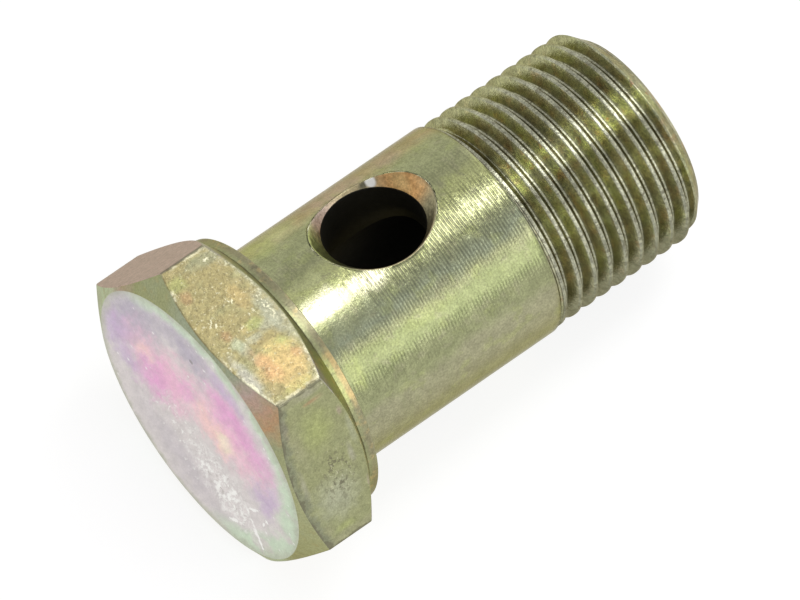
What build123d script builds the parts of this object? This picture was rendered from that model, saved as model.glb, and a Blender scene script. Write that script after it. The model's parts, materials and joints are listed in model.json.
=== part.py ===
from build123d import *
import os
from math import atan, cos, degrees, radians, sin, sqrt, tan

# Banjo bolt: a hollow hexagon-head bolt with a 3/8 inch pipe thread, turned and drilled from one
# piece of hexagon bar. Fluid enters the axial bore at the threaded end and leaves through the
# cross hole in the plain neck. Millimetres and degrees.

# Head
across_flats = 22.0
head_height = 7.1  # outer face to seat, with the washer face
face_inset = 0.25  # the edge of the outer face lies this far inside the flats
face_chamfer_angle = 30.0  # from the plane of the face
seat_chamfer_angle = 35.0  # from the plane of the seat
washer_face_inset = 0.55  # the washer face lies this far inside the flats
washer_face_height = 0.8

# Neck and thread
neck_diameter = 16.7
neck_length = 17.8  # seat to the start of the thread
seat_fillet = 0.3
thread_major_diameter = 16.45  # the cut thread starts from this plain cylinder
thread_length = 12.8
thread_run_in = 0.6  # cone from the neck down to the thread
thread_end_chamfer = 1.4

# Axial bore, open at the threaded end and closed at the head
bore_diameter = 9.5
bore_mouth_chamfer = 0.5
bore_past_cross_hole = 0.8  # full bore beyond the far side of the cross hole
drill_point_angle = 118.0

# Cross hole through both walls of the neck
cross_hole_diameter = 7.2
cross_hole_from_seat = 9.1
cross_hole_turn = -15.8  # about the bolt's axis, from the flat that the bolt lies on
countersink_width = 1.0  # each side of the cross hole, measured along the bolt
countersink_angle = 82.0

# The tools that cut the blank reach this far past it
overrun = 1.0

# Distances from the outer face, along the bolt's axis
seat = head_height
neck_end = seat + neck_length
bolt_length = neck_end + thread_length
thread_end = bolt_length - thread_end_chamfer
cross_hole_place = seat + cross_hole_from_seat

# Radii
flat_radius = across_flats / 2
corner_radius = across_flats / sqrt(3)
face_radius = flat_radius - face_inset
washer_radius = flat_radius - washer_face_inset
neck_radius = neck_diameter / 2
thread_radius = thread_major_diameter / 2
bore_radius = bore_diameter / 2
cross_hole_radius = cross_hole_diameter / 2


def turned(*outline):
    """The solid that an outline of (radius, distance along the axis) points sweeps about Z."""
    with BuildPart() as solid:
        with BuildSketch(Plane.XZ):
            with BuildLine():
                Polyline(*outline, close=True)
            make_face()
        revolve(axis=Axis.Z)
    return solid.part


def seat_cone_height(radius):
    """Where the seat-side chamfer of the hexagon lies at a radius."""
    return seat - washer_face_height - (radius - washer_radius) * tan(radians(seat_chamfer_angle))


def head():
    """Hexagon bar with one flat towards +X, chamfered at both ends down to the washer face."""
    with BuildPart() as bar:
        with BuildSketch():
            RegularPolygon(radius=flat_radius, side_count=6, major_radius=False, rotation=30)
        extrude(amount=head_height)
    blank_radius = corner_radius + overrun
    face_side = turned(
        (0, 0),
        (face_radius, 0),
        (blank_radius, (blank_radius - face_radius) * tan(radians(face_chamfer_angle))),
        (blank_radius, head_height),
        (0, head_height),
    )
    seat_side = turned(
        (0, 0),
        (blank_radius, 0),
        (blank_radius, seat_cone_height(blank_radius)),
        (washer_radius, seat_cone_height(washer_radius)),
        (washer_radius, head_height),
        (0, head_height),
    )
    return bar.part & face_side & seat_side


def shaft():
    """Neck and thread blank, from inside the head to the chamfered end."""
    return turned(
        (0, seat - washer_face_height),
        (neck_radius, seat - washer_face_height),
        (neck_radius, neck_end),
        (thread_radius, neck_end + thread_run_in),
        (thread_radius, thread_end),
        (thread_radius - thread_end_chamfer, bolt_length),
        (0, bolt_length),
    )


def axial_bore():
    """Blind hole from the threaded end to just past the cross hole, with its drill point."""
    shoulder = cross_hole_place - cross_hole_radius - bore_past_cross_hole
    drill_point = bore_radius / tan(radians(drill_point_angle / 2))
    return turned(
        (0, shoulder - drill_point),
        (bore_radius, shoulder),
        (bore_radius, bolt_length - bore_mouth_chamfer),
        (bore_radius + bore_mouth_chamfer + overrun, bolt_length + overrun),
        (0, bolt_length + overrun),
    )


def cross_hole():
    """Drilling across the neck with a countersink at each end."""
    spread = tan(radians(countersink_angle / 2))
    countersink_depth = countersink_width / spread
    inner = neck_radius - countersink_depth
    outer = neck_radius + overrun
    outer_radius = cross_hole_radius + (outer - inner) * spread
    drill = turned(
        (0, -outer),
        (outer_radius, -outer),
        (cross_hole_radius, -inner),
        (cross_hole_radius, inner),
        (outer_radius, outer),
        (0, outer),
    )
    return Pos(0, 0, cross_hole_place) * Rot(0, 0, cross_hole_turn) * Rot(0, 90, 0) * drill


def upright_bolt():
    """The bolt with its axis on Z, the outer face of its head at the origin."""
    with BuildPart() as bolt:
        add(head())
        add(shaft())
        at_seat = bolt.edges().filter_by(GeomType.CIRCLE).filter_by_position(Axis.Z, seat, seat)
        fillet(at_seat.sort_by(SortBy.RADIUS)[0], radius=seat_fillet)
        add(axial_bore(), mode=Mode.SUBTRACT)
        add(cross_hole(), mode=Mode.SUBTRACT)
    return bolt.part


def lying(bolt):
    """The bolt at rest on the ground, Z = 0, with its head towards -X.

    It lies on the seat-side end of one flat and on the first rim of the shaft that comes down.
    """
    heel = seat_cone_height(flat_radius)
    rims = [
        (seat, washer_radius),
        (neck_end, neck_radius),
        (thread_end, thread_radius),
        (bolt_length, thread_radius - thread_end_chamfer),
    ]
    tilt = atan(min((flat_radius - radius) / (place - heel) for place, radius in rims))
    height = flat_radius * cos(tilt) + heel * sin(tilt)
    laid = Rot(0, 90 + degrees(tilt), 0) * bolt
    return Pos(-laid.bounding_box().center().X, 0, height) * laid


banjo_bolt = lying(upright_bolt())

os.makedirs("parts", exist_ok=True)
export_step(banjo_bolt, "parts/banjo_bolt.step")
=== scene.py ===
"""A yellow-plated banjo bolt, with its thread, cross hole and bore, in a plain white studio."""

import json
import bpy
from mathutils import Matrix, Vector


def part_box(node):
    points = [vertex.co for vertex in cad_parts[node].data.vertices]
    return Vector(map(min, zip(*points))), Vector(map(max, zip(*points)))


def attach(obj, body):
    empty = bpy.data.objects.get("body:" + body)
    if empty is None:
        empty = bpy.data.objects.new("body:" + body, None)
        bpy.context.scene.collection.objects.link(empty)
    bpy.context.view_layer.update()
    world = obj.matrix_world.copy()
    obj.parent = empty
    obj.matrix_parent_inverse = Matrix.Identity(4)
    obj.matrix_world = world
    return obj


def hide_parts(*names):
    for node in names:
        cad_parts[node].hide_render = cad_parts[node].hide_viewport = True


bl_info = {
    "name": "Banjo Bolt",
    "version": (1, 0, 0),
    "blender": (4, 5, 0),
    "location": "3D View > Sidebar > Banjo Bolt",
    "description": "Makes a plated banjo bolt round its packed model, and the studio it lies in",
    "category": "Add Mesh",
}

import bmesh
import bpy
import numpy as np
from bpy.props import FloatProperty, FloatVectorProperty, PointerProperty
from mathutils import Matrix, Vector

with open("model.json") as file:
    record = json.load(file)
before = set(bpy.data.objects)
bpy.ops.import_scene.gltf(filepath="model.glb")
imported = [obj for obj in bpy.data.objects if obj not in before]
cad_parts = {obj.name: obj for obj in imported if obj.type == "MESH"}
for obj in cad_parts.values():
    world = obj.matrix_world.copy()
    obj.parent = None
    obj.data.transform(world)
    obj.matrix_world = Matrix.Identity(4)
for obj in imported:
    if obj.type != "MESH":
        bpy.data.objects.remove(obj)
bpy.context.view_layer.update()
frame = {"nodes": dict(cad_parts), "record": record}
NODE = "banjo_bolt"
MM = 0.001
INCH = 0.0254
DEGREE = np.pi / 180
FLAT_TURN = np.pi / 3  # from one flat of the hexagon to the next

# The bolt's own axes in the frame, from the middle of its outer face: along it, down to the flat
# it lies on, and across. They are right-handed in that order.
MOUNTS = {mount["name"]: mount for mount in frame["record"]["mounts"]}
ORIGIN = np.array(MOUNTS["head_face"]["pos_m"])
ALONG = np.array(MOUNTS["thread"]["axis"])
ACROSS = np.array([0.0, 1.0, 0.0])
DOWN = np.cross(ACROSS, ALONG)


def place_of(mount):
    """How far a mount lies from the outer face, along the bolt."""
    return float((np.array(MOUNTS[mount]["pos_m"]) - ORIGIN) @ ALONG)


def radius_of(mount):
    return MOUNTS[mount]["dims"]["r_mm"] * MM


def span_of(mount):
    """Where a round mount's wall begins and ends, along the bolt."""
    half = MOUNTS[mount]["dims"]["length_mm"] * MM / 2
    return place_of(mount) - half, place_of(mount) + half


def cad_length():
    """The bolt's length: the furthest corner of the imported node, along the axis."""
    corners = np.array([v.co for v in frame["nodes"][NODE].data.vertices])
    return float(((corners - ORIGIN) @ ALONG).max())


# The bolt's sizes from the frame, in metres.
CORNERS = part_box(NODE)[1].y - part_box(NODE)[0].y  # across the hexagon's corners
SEAT = place_of("seat")
BOLT_LENGTH = cad_length()
THREAD_STOP = span_of("thread")[1] + 0.3 * MM  # where the end chamfer begins

# Its other sizes that shapes and finishes share, in millimetres and degrees.
CORNER_OUT = CORNERS / 2 / MM  # from the axis to a corner
FLAT_OUT = CORNER_OUT * np.cos(np.pi / 6)  # and to a flat
FACE_INSET, FACE_CHAMFER = 0.25, 30
WASHER_INSET, WASHER_HEIGHT, SEAT_CHAMFER = 0.55, 0.8, 35
FACE_OUT, WASHER_OUT = FLAT_OUT - FACE_INSET, FLAT_OUT - WASHER_INSET  # those faces' radii
SHOULDER = SEAT / MM - WASHER_HEIGHT  # where the washer face starts, along the bolt
HOLE_PLACE, HOLE_TURN = 16.2, 164.2  # of the cross hole, along and round the bolt
HOLE_RADIUS, SINK_WIDTH, SINK_ANGLE = 3.6, 1.0, 82
NECK_OUT = radius_of("neck") / MM


def length(name, description, default):
    return FloatProperty(
        name=name, description=description, default=default, min=0.0, unit="LENGTH", precision=5
    )


def angle(name, description, degrees):
    return FloatProperty(
        name=name, description=description, default=degrees * DEGREE, unit="ROTATION"
    )


def colour(name, description, default):
    return FloatVectorProperty(
        name=name, description=description, default=default, min=0.0, max=1.0, subtype="COLOR"
    )


class HeadSizes(bpy.types.PropertyGroup):
    across_flats: length("Across flats", "Width of the hexagon", 2 * FLAT_OUT * MM)
    height: length("Height", "From the outer face to the seat", SEAT)
    face_inset: length("Face inset", "From the flats in to the outer face's edge", FACE_INSET * MM)
    face_chamfer: angle("Face chamfer", "Slope of the chamfer round the face", FACE_CHAMFER)
    seat_chamfer: angle("Seat chamfer", "Slope of the chamfer by the washer face", SEAT_CHAMFER)
    washer_inset: length("Washer inset", "From the flats in to the washer face", WASHER_INSET * MM)
    washer_height: length("Washer height", "Height of the washer face", WASHER_HEIGHT * MM)
    corner_radius: length("Corner radius", "Rounding of the hexagon's corners", 0.18 * MM)
    edge_break: length("Edge break", "How far the other edges are rounded back", 0.09 * MM)


class ShaftSizes(bpy.types.PropertyGroup):
    neck_radius: length("Neck radius", "Radius of the plain neck", radius_of("neck"))
    seat_fillet: length("Seat fillet", "Fillet under the head", span_of("neck")[0] - SEAT)
    neck_end: length("Neck end", "From the outer face to the thread", span_of("neck")[1])
    bolt_length: length("Length", "Whole length of the bolt", BOLT_LENGTH)
    bore_radius: length("Bore radius", "Radius of the axial bore", radius_of("axial_bore"))
    bore_mouth: length("Bore mouth", "Where its mouth chamfer begins", BOLT_LENGTH - 0.5 * MM)
    bore_depth: length("Bore depth", "From there to its shoulder", 25.4 * MM)
    drill_point: angle("Drill point", "Angle of the bore's closed end", 118)
    hole_radius: length("Hole radius", "Radius of the cross hole", HOLE_RADIUS * MM)
    hole_place: length("Hole place", "From the outer face to the cross hole", HOLE_PLACE * MM)
    hole_turn: angle("Hole turn", "Angle of the hole from the flat underneath", HOLE_TURN)
    sink_width: length("Countersink width", "Its width, along the bolt", SINK_WIDTH * MM)
    sink_angle: angle("Countersink angle", "Full angle of the countersink", SINK_ANGLE)


class ThreadSizes(bpy.types.PropertyGroup):
    crest_radius: length("Crest radius", "Radius at the crests", radius_of("thread"))
    pitch: length("Pitch", "From crest to crest", INCH / 19)
    crest_place: length("Crest place", "First crest, over the flat underneath", 25.54 * MM)
    crest_width: length("Crest width", "Width of the land on each crest", 0.24 * MM)
    root_width: length("Root width", "Width of the flat in each root", 0.2 * MM)
    root_round: length("Root rounding", "How far that flat's edges are rounded", 0.05 * MM)
    form_angle: angle("Form angle", "Full angle between the flanks", 55)
    run_out: angle("Run-out", "Slope at which the first groove deepens", 45)
    edge_round: length("Edge rounding", "How far the edges of the land are rounded", 0.04 * MM)
    lead_in: length("Lead-in", "How far the thread reaches over the end of the neck", 0.3 * MM)
    chamfer_from: length("Chamfer from", "Where the end chamfer begins", THREAD_STOP)


class ZincTones(bpy.types.PropertyGroup):
    olive: colour("Olive", "The plating's main colour", (0.37, 0.38, 0.21))
    khaki: colour("Khaki", "Yellower plating on the flats", (0.39, 0.335, 0.165))
    tan: colour("Tan", "Browner plating", (0.42, 0.355, 0.21))
    moss: colour("Moss", "Yellow-green plating", (0.40, 0.44, 0.17))
    lemon: colour("Lemon", "Brightest yellow-green", (0.57, 0.60, 0.245))
    peach: colour("Peach", "Warm patches", (0.645, 0.48, 0.22))
    amber: colour("Amber", "Orange spots in them", (0.70, 0.40, 0.22))
    rust: colour("Rust", "Reddish-brown spots", (0.46, 0.27, 0.15))
    copper: colour("Copper", "Inside the countersinks", (0.56, 0.32, 0.13))
    rose: colour("Rose", "Pinkish brown", (0.44, 0.335, 0.29))
    cream: colour("Cream", "Bright specks and glints", (0.84, 0.81, 0.58))
    silver: colour("Silver", "Rubbed plating", (0.43, 0.44, 0.33))
    # Sage, lime and fern also paint light and shade round the neck: sage and lime the lighter band
    # by its bright streak, fern the darker band past it
    sage: colour("Sage", "Pale grey-green plating", (0.50, 0.52, 0.28))
    lime: colour("Lime", "Plating beside the brightest band", (0.45, 0.47, 0.22))
    fern: colour("Fern", "Deeper green plating", (0.28, 0.31, 0.15))
    pewter: colour("Pewter", "Rubbed metal of the thread", (0.33, 0.33, 0.245))
    reed: colour("Reed", "Greener olive plating", (0.31, 0.325, 0.175))
    slate: colour("Slate", "Dull grey plating", (0.20, 0.21, 0.16))
    grey_green: colour("Grey-green", "Thin plating on turned faces", (0.32, 0.35, 0.24))
    ash: colour("Ash", "Scuffed plating", (0.43, 0.40, 0.36))
    pearl: colour("Pearl", "Thin pale plating", (0.66, 0.61, 0.59))
    haze: colour("Haze", "Blue-grey film on the outer face", (0.40, 0.355, 0.44))
    lilac: colour("Lilac", "Lilac film on the outer face", (0.52, 0.385, 0.58))
    orchid: colour("Orchid", "Deep pink film on the outer face", (0.74, 0.33, 0.60))
    blush: colour("Blush", "Pale pink film on the outer face", (0.84, 0.49, 0.61))
    shell: colour("Shell", "Peach film on the outer face", (0.88, 0.60, 0.56))
    foam: colour("Foam", "Green film round the outer face", (0.56, 0.67, 0.50))
    drab: colour("Drab", "Dull olive plating", (0.35, 0.34, 0.215))
    bronze: colour("Bronze", "Brownish olive plating", (0.29, 0.27, 0.165))
    # Painted shade in corners, on edges and beside glints, and also dark pits, chips and spots
    shade_and_pit_dark: colour("Soot", "Shaded plating in roots and corners", (0.16, 0.15, 0.1))
    # Painted shade: near black inside the cross hole and the bore, and in the neck's feed grooves
    # where the highlights fall
    dark: colour("Dark", "Pits, and thin plating inside", (0.035, 0.033, 0.027))
    # Also a painted glint in a countersink
    white: colour("White", "Bare bright scratches", (0.93, 0.92, 0.88))


def spun(x, r, turn):
    """Points at x along the bolt, r from its axis and a turn round it from the flat underneath."""
    x, r, turn = np.broadcast_arrays(x, r, turn)
    return (
        ORIGIN
        + x[..., None] * ALONG
        + (r * np.cos(turn))[..., None] * DOWN
        + (r * np.sin(turn))[..., None] * ACROSS
    )


def arc(before, corner, after, reach, steps=3):
    """Rounds a corner of a broken line with a circle's arc.

    The arc touches both lines at the reach from the corner. It is the rational quadratic curve
    through those two points whose middle weight is the sine of half the angle between the lines.
    """
    to_before, to_after = before - corner, after - corner
    to_before = to_before / np.linalg.norm(to_before, axis=-1, keepdims=True)
    to_after = to_after / np.linalg.norm(to_after, axis=-1, keepdims=True)
    cosine = (to_before * to_after).sum(-1, keepdims=True)
    weight = np.sqrt((1 - cosine) / 2)[..., None, :]
    t = np.linspace(0, 1, steps + 1)[:, None]
    first = (corner + reach * to_before)[..., None, :]
    last = (corner + reach * to_after)[..., None, :]
    middle = 2 * weight * t * (1 - t)
    blend = (1 - t) ** 2 + middle + t**2
    return ((1 - t) ** 2 * first + middle * corner[..., None, :] + t**2 * last) / blend


def straight(start, end, shares):
    """Points on the line from start to end, at the given shares of its length."""
    shares = np.asarray(shares)[:, None]
    return start[..., None, :] * (1 - shares) + end[..., None, :] * shares


def hexagon(turn, apothem, rounding):
    """Radius of a hexagon with rounded corners.

    Along a flat it is the apothem over the cosine of the turn from the flat's middle. Near a
    corner it is the far side of a circle that touches both flats there.
    """
    off = (turn + FLAT_TURN / 2) % FLAT_TURN - FLAT_TURN / 2
    to_corner = FLAT_TURN / 2 - abs(off)
    centre = (apothem - rounding) / np.cos(FLAT_TURN / 2)
    inside = np.maximum(rounding**2 - (centre * np.sin(to_corner)) ** 2, 0)
    on_flat = apothem * np.tan(abs(off)) < centre * np.sin(FLAT_TURN / 2)
    return np.where(on_flat, apothem / np.cos(off), centre * np.cos(to_corner) + np.sqrt(inside))


def turns_round(head):
    """Angles round the bolt: even on each flat, and close together at the hexagon's corners."""
    apothem = head.across_flats / 2
    lateral = (apothem - head.corner_radius) * np.tan(FLAT_TURN / 2)
    touch = np.arctan2(lateral, apothem)
    arc_part = np.linspace(touch, FLAT_TURN / 2, 4)
    support = touch - np.array([2.2, 1.0, 0.3]) * DEGREE  # closer and closer to the corner
    side = np.concatenate([np.linspace(0, support[0], 14), support[1:], arc_part])
    one_flat = np.concatenate([-side[:0:-1], side[:-1]])
    flats = np.arange(6) * FLAT_TURN
    return (flats[:, None] + one_flat).ravel()


class Skin:
    """Surfaces of one piece, each a grid of points, gathered and then sewn into a closed mesh."""

    def __init__(self):
        self.points = []
        self.faces = []
        self.zones = []
        self.total = 0

    def add(self, points, zone, closed=False):
        """Takes a grid of points. zone is a material's number, for the grid or for each row."""
        if closed:
            points = np.concatenate([points, points[:1]])
        columns, rows = points.shape[:2]
        index = np.arange(columns * rows).reshape(columns, rows) + self.total
        quads = np.stack([index[:-1, :-1], index[1:, :-1], index[1:, 1:], index[:-1, 1:]], -1)
        self.points.append(points.reshape(-1, 3))
        self.faces.append(quads.reshape(-1, 4))
        zone = np.broadcast_to(zone, (columns - 1, rows - 1))
        self.zones.append(zone.ravel())
        self.total += columns * rows

    def sewn(self, name, materials):
        """One mesh with its seams and poles closed and its faces outwards."""
        mesh = bpy.data.meshes.new(name)
        points = np.concatenate(self.points)
        faces = np.concatenate(self.faces)
        mesh.from_pydata(points.tolist(), [], faces.tolist())
        for material in materials:
            mesh.materials.append(material)
        mesh.polygons.foreach_set("material_index", np.concatenate(self.zones).astype(np.int32))
        work = bmesh.new()
        work.from_mesh(mesh)
        bmesh.ops.remove_doubles(work, verts=work.verts, dist=SEW)
        bmesh.ops.recalc_face_normals(work, faces=work.faces)
        work.to_mesh(mesh)
        work.free()
        mesh.polygons.foreach_set("use_smooth", np.ones(len(mesh.polygons), bool))
        mesh.update()
        return mesh


SEW = 0.6e-6  # points nearer than this, in metres, are sewn into one
OUTWARD = 0.7  # of the UV map, so that faces, walls and chamfers all have a slope in it


def map_turned(mesh):
    """A UV map called turned: along and out from the axis first, then round it.

    The turn at each of a face's corners is counted from the face's first corner, so that no face
    is stretched where the turn starts again.
    """
    points = np.empty(len(mesh.vertices) * 3)
    mesh.vertices.foreach_get("co", points)
    points = points.reshape(-1, 3) - ORIGIN
    corners = np.empty(len(mesh.loops), int)
    mesh.loops.foreach_get("vertex_index", corners)
    starts = np.empty(len(mesh.polygons), int)
    counts = np.empty(len(mesh.polygons), int)
    mesh.polygons.foreach_get("loop_start", starts)
    mesh.polygons.foreach_get("loop_total", counts)
    along, down, across = points @ ALONG, points @ DOWN, points @ ACROSS
    turn = np.arctan2(across, down)[corners]
    first = np.repeat(turn[starts], counts)
    turn = first + (turn - first + np.pi) % (2 * np.pi) - np.pi
    out = (along + OUTWARD * np.hypot(down, across))[corners] / BOLT_LENGTH
    layer = mesh.uv_layers.new(name="turned")
    layer.data.foreach_set("uv", np.stack([out, turn / (2 * np.pi)], -1).ravel())


FACE, CHAMFER, FLATS, WASHER, NECK, SINK, BORE, THREAD, END = range(9)


def wall_start(head, shaft):
    """Where the neck's plain wall starts, clear of the fillet under the head."""
    return head.height + 2 * shaft.seat_fillet


def head_outline(head, shaft, turn):
    """The head's half section at each turn, as (along, radius), with the zone of each step."""
    apothem = head.across_flats / 2
    rim = hexagon(turn, apothem, head.corner_radius)
    face_radius = apothem - head.face_inset
    washer_radius = apothem - head.washer_inset
    shoulder = head.height - head.washer_height
    full = np.ones_like(turn)

    def corner(x, r):
        return np.stack([x * full, r * full], -1)

    pole = corner(0, 0)
    face_edge = corner(0, face_radius)
    flat_start = corner((rim - face_radius) * np.tan(head.face_chamfer), rim)
    flat_end = corner(shoulder - (rim - washer_radius) * np.tan(head.seat_chamfer), rim)
    washer_foot = corner(shoulder, washer_radius)
    washer_edge = corner(head.height, washer_radius)
    neck_foot = corner(head.height, shaft.neck_radius)
    neck_wall = corner(wall_start(head, shaft), shaft.neck_radius)
    corners = [pole, face_edge, flat_start, flat_end]
    corners += [washer_foot, washer_edge, neck_foot, neck_wall]
    zones = [FACE, CHAMFER, FLATS, WASHER, WASHER, WASHER, NECK]  # of the lines between corners
    splits = [12, 2, 6, 2, 1, 2, 1]  # of those lines
    reach = head.edge_break
    reaches = [reach, reach, reach, reach / 2, reach, shaft.seat_fillet]  # of the arcs
    steps = [3, 3, 3, 2, 3, 5]  # of the arcs
    rows, row_zones = [], []
    start = pole
    for k, zone in enumerate(zones):
        last = k == len(reaches)
        rounding = None if last else arc(*corners[k : k + 3], reaches[k], steps[k])
        end = corners[-1] if last else rounding[..., 0, :]
        shares = np.linspace(0, 1, splits[k] + 1)
        if k in (1, 2, 3):  # a narrow step beside each rounded edge
            shares = np.concatenate([[0, 0.04], shares[1:-1], [0.96, 1]])
        line = straight(start, end, shares)
        rows.append(line if k == 0 else line[..., 1:, :])
        row_zones += [zone] * (line.shape[-2] - 1)
        if not last:
            rows.append(rounding[..., 1:, :])
            half = steps[k] // 2
            row_zones += [zone] * half + [zones[k + 1]] * (steps[k] - half)
            start = rounding[..., -1, :]
    return np.concatenate(rows, -2), row_zones


def thread_form(offset, thread):
    """Radius of the thread at an offset along the bolt from the middle of a crest.

    A land, a straight flank at half the form angle, and a flat root, with a parabola round the
    edge between each two.
    """
    slope = 1 / np.tan(thread.form_angle / 2)

    def past(edge, ease):
        beyond = abs(offset) - edge
        bend = np.clip(beyond + ease, 0, 2 * ease) ** 2 / (4 * ease)
        return bend + np.maximum(beyond - ease, 0)

    crest_edge = past(thread.crest_width / 2, thread.edge_round)
    root_edge = past((thread.pitch - thread.root_width) / 2, thread.root_round)
    return thread.crest_radius - slope * (crest_edge - root_edge)


def thread_surface(shaft, thread, turn):
    """The thread from the end of the neck to where the end chamfer passes under its roots.

    Two parameters, the turn and a distance in pitches: rows follow the helix, which gains one
    pitch a turn, so the crests' edges are rows. Rows that leave the thread's length are drawn
    in to its end circles and merge with them.
    """
    land, ease = thread.crest_width / 2, thread.edge_round
    floor, root_ease = (thread.pitch - thread.root_width) / 2, thread.root_round
    half = np.concatenate(
        [
            [0],
            np.linspace(land - ease, land + ease, 5),
            np.linspace(land + ease, floor - root_ease, 5)[1:-1],
            np.linspace(floor - root_ease, floor + root_ease, 5),
        ]
    )
    stations = np.concatenate([-half[:0:-1], half, [thread.pitch / 2]]) / thread.pitch
    start = shaft.neck_end - thread.lead_in
    end = end_of(thread)
    first = np.floor((start - thread.crest_place) / thread.pitch) - 1
    last = np.ceil((end - thread.crest_place) / thread.pitch)
    pitches = np.arange(first, last + 1)
    rows = (pitches[:, None] + stations).ravel()
    turn = np.append(turn, turn[0] + 2 * np.pi)[:, None]
    x = np.clip(thread.crest_place + (rows + turn / (2 * np.pi)) * thread.pitch, start, end)
    along_helix = (x - thread.crest_place) / thread.pitch - turn / (2 * np.pi)
    offset = (along_helix - np.round(along_helix)) * thread.pitch
    radius = thread_form(offset, thread)
    radius = np.maximum(radius, shaft.neck_radius - (x - start) * np.tan(thread.run_out))
    radius = np.minimum(radius, np.maximum(shaft.neck_radius - (x - start), thread.crest_radius))
    radius = np.minimum(radius, thread.crest_radius - (x - thread.chamfer_from))
    return spun(x, radius, turn)


def root_of(thread):
    """Radius of the thread's roots."""
    return float(thread_form(np.array(thread.pitch / 2), thread))


def end_of(thread):
    """Where the end chamfer passes under the roots, along the bolt."""
    return thread.chamfer_from + (thread.crest_radius - root_of(thread))


class Hole:
    """One end of the cross hole: a round wall, a countersink, and its rims on neck and bore.

    It is drawn along lines, one to each of the given places on the neck, as (along, turn).
    """

    def __init__(self, shaft, centre, x, turn):
        self.shaft = shaft
        self.centre = centre  # turn round the bolt
        self.sink = np.tan(shaft.sink_angle / 2)
        self.wall_top = shaft.neck_radius - shaft.sink_width / self.sink
        self.bearing = np.arctan2(shaft.neck_radius * (turn - centre), x - shaft.hole_place)

    def point(self, reach, height):
        """A point at a reach from the hole's axis, along each bearing, and a height up it."""
        along = self.shaft.hole_place + reach * np.cos(self.bearing)
        sideways = reach * np.sin(self.bearing)
        radius = np.hypot(sideways, height)
        return along, radius, self.centre + np.arctan2(sideways, height)

    def rim(self):
        """The rim on the neck, where the countersink's cone meets it.

        Height squared plus the squared sideways part of the cone's reach is the neck's radius
        squared, which is a quadratic in the height.
        """
        sine = np.sin(self.bearing) ** 2
        base = self.shaft.hole_radius - self.wall_top * self.sink
        a = 1 + self.sink**2 * sine
        b = self.sink * sine * base
        c = sine * base**2 - self.shaft.neck_radius**2
        height = (-b + np.sqrt(b**2 - a * c)) / a
        return self.point(self.shaft.hole_radius + (height - self.wall_top) * self.sink, height)

    def foot(self):
        """The countersink's inner edge, where the wall begins."""
        return self.point(self.shaft.hole_radius, self.wall_top)

    def bore_rim(self):
        """The rim on the bore, where the wall meets it."""
        sideways = self.shaft.hole_radius * np.sin(self.bearing)
        height = np.sqrt(self.shaft.bore_radius**2 - sideways**2)
        return self.point(self.shaft.hole_radius, height)


def fan(start, end, radius, shares):
    """Lines over a round wall from each start to its end, both as (along, turn)."""
    (x, turn), (end_x, end_turn) = start, end
    along = x[:, None] + (end_x - x)[:, None] * shares
    return spun(along, radius, turn[:, None] + (end_turn - turn)[:, None] * shares)


def add_hole(skin, hole, neck_place, bore_place, edge_break):
    """One end of the cross hole, as a fan of lines.

    They run from a rectangle on the neck to the rim, down the countersink and the wall, and out
    over the bore to a rectangle of its own. Both rectangles are given as (along, turn).
    """
    shaft = hole.shaft
    rim_x, _, rim_turn = hole.rim()
    x, turn = neck_place
    distance = np.hypot(x - rim_x, shaft.neck_radius * (turn - rim_turn))
    shares = np.broadcast_to([1.0, 0.8, 0.6, 0.4, 0.25, 0.13, 0.05], (len(x), 7))
    near = (edge_break / distance)[:, None] * np.array([2.5, 1.0])  # the last rows, by the lip
    shares = np.concatenate([shares, near], 1)
    over = fan((rim_x, rim_turn), neck_place, shaft.neck_radius, shares)
    rim = spun(rim_x, shaft.neck_radius, rim_turn)
    foot = spun(*hole.foot())
    lip = arc(over[:, -1], rim, foot, edge_break)
    lip[:, 0] = over[:, -1]
    bore_x, _, bore_turn = hole.bore_rim()
    bottom = spun(*hole.bore_rim())
    inner = arc(rim, foot, bottom, edge_break)
    cone = straight(lip[:, -1], inner[:, 0], [0, 0.1, 0.35, 0.65, 0.9, 1])
    wall = straight(inner[:, -1], bottom, [0, 0.05, 0.3, 0.6, 1])
    under = fan((bore_x, bore_turn), bore_place, shaft.bore_radius, np.linspace(0, 1, 5))
    skin.add(over, NECK, closed=True)
    for surface in (lip, cone):
        skin.add(surface, SINK, closed=True)
    for surface in (inner, wall, under):
        skin.add(surface, BORE, closed=True)


RIM_BREAK, END_BREAK = 0.7, 0.8  # of the holes' rims and the bolt's end, to the head's edges
NECK_ROWS = 8  # between the band and each end of the neck
SIDE_STEPS = 24  # along the bolt, on each side of a rectangle round a hole
NECK_MARGIN, BORE_MARGIN = 0.75 * MM, 0.45 * MM  # from a hole to its rectangle's ends
NECK_REACH, BORE_REACH = 37 * DEGREE, 62 * DEGREE  # from a hole's middle to its sides


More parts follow.
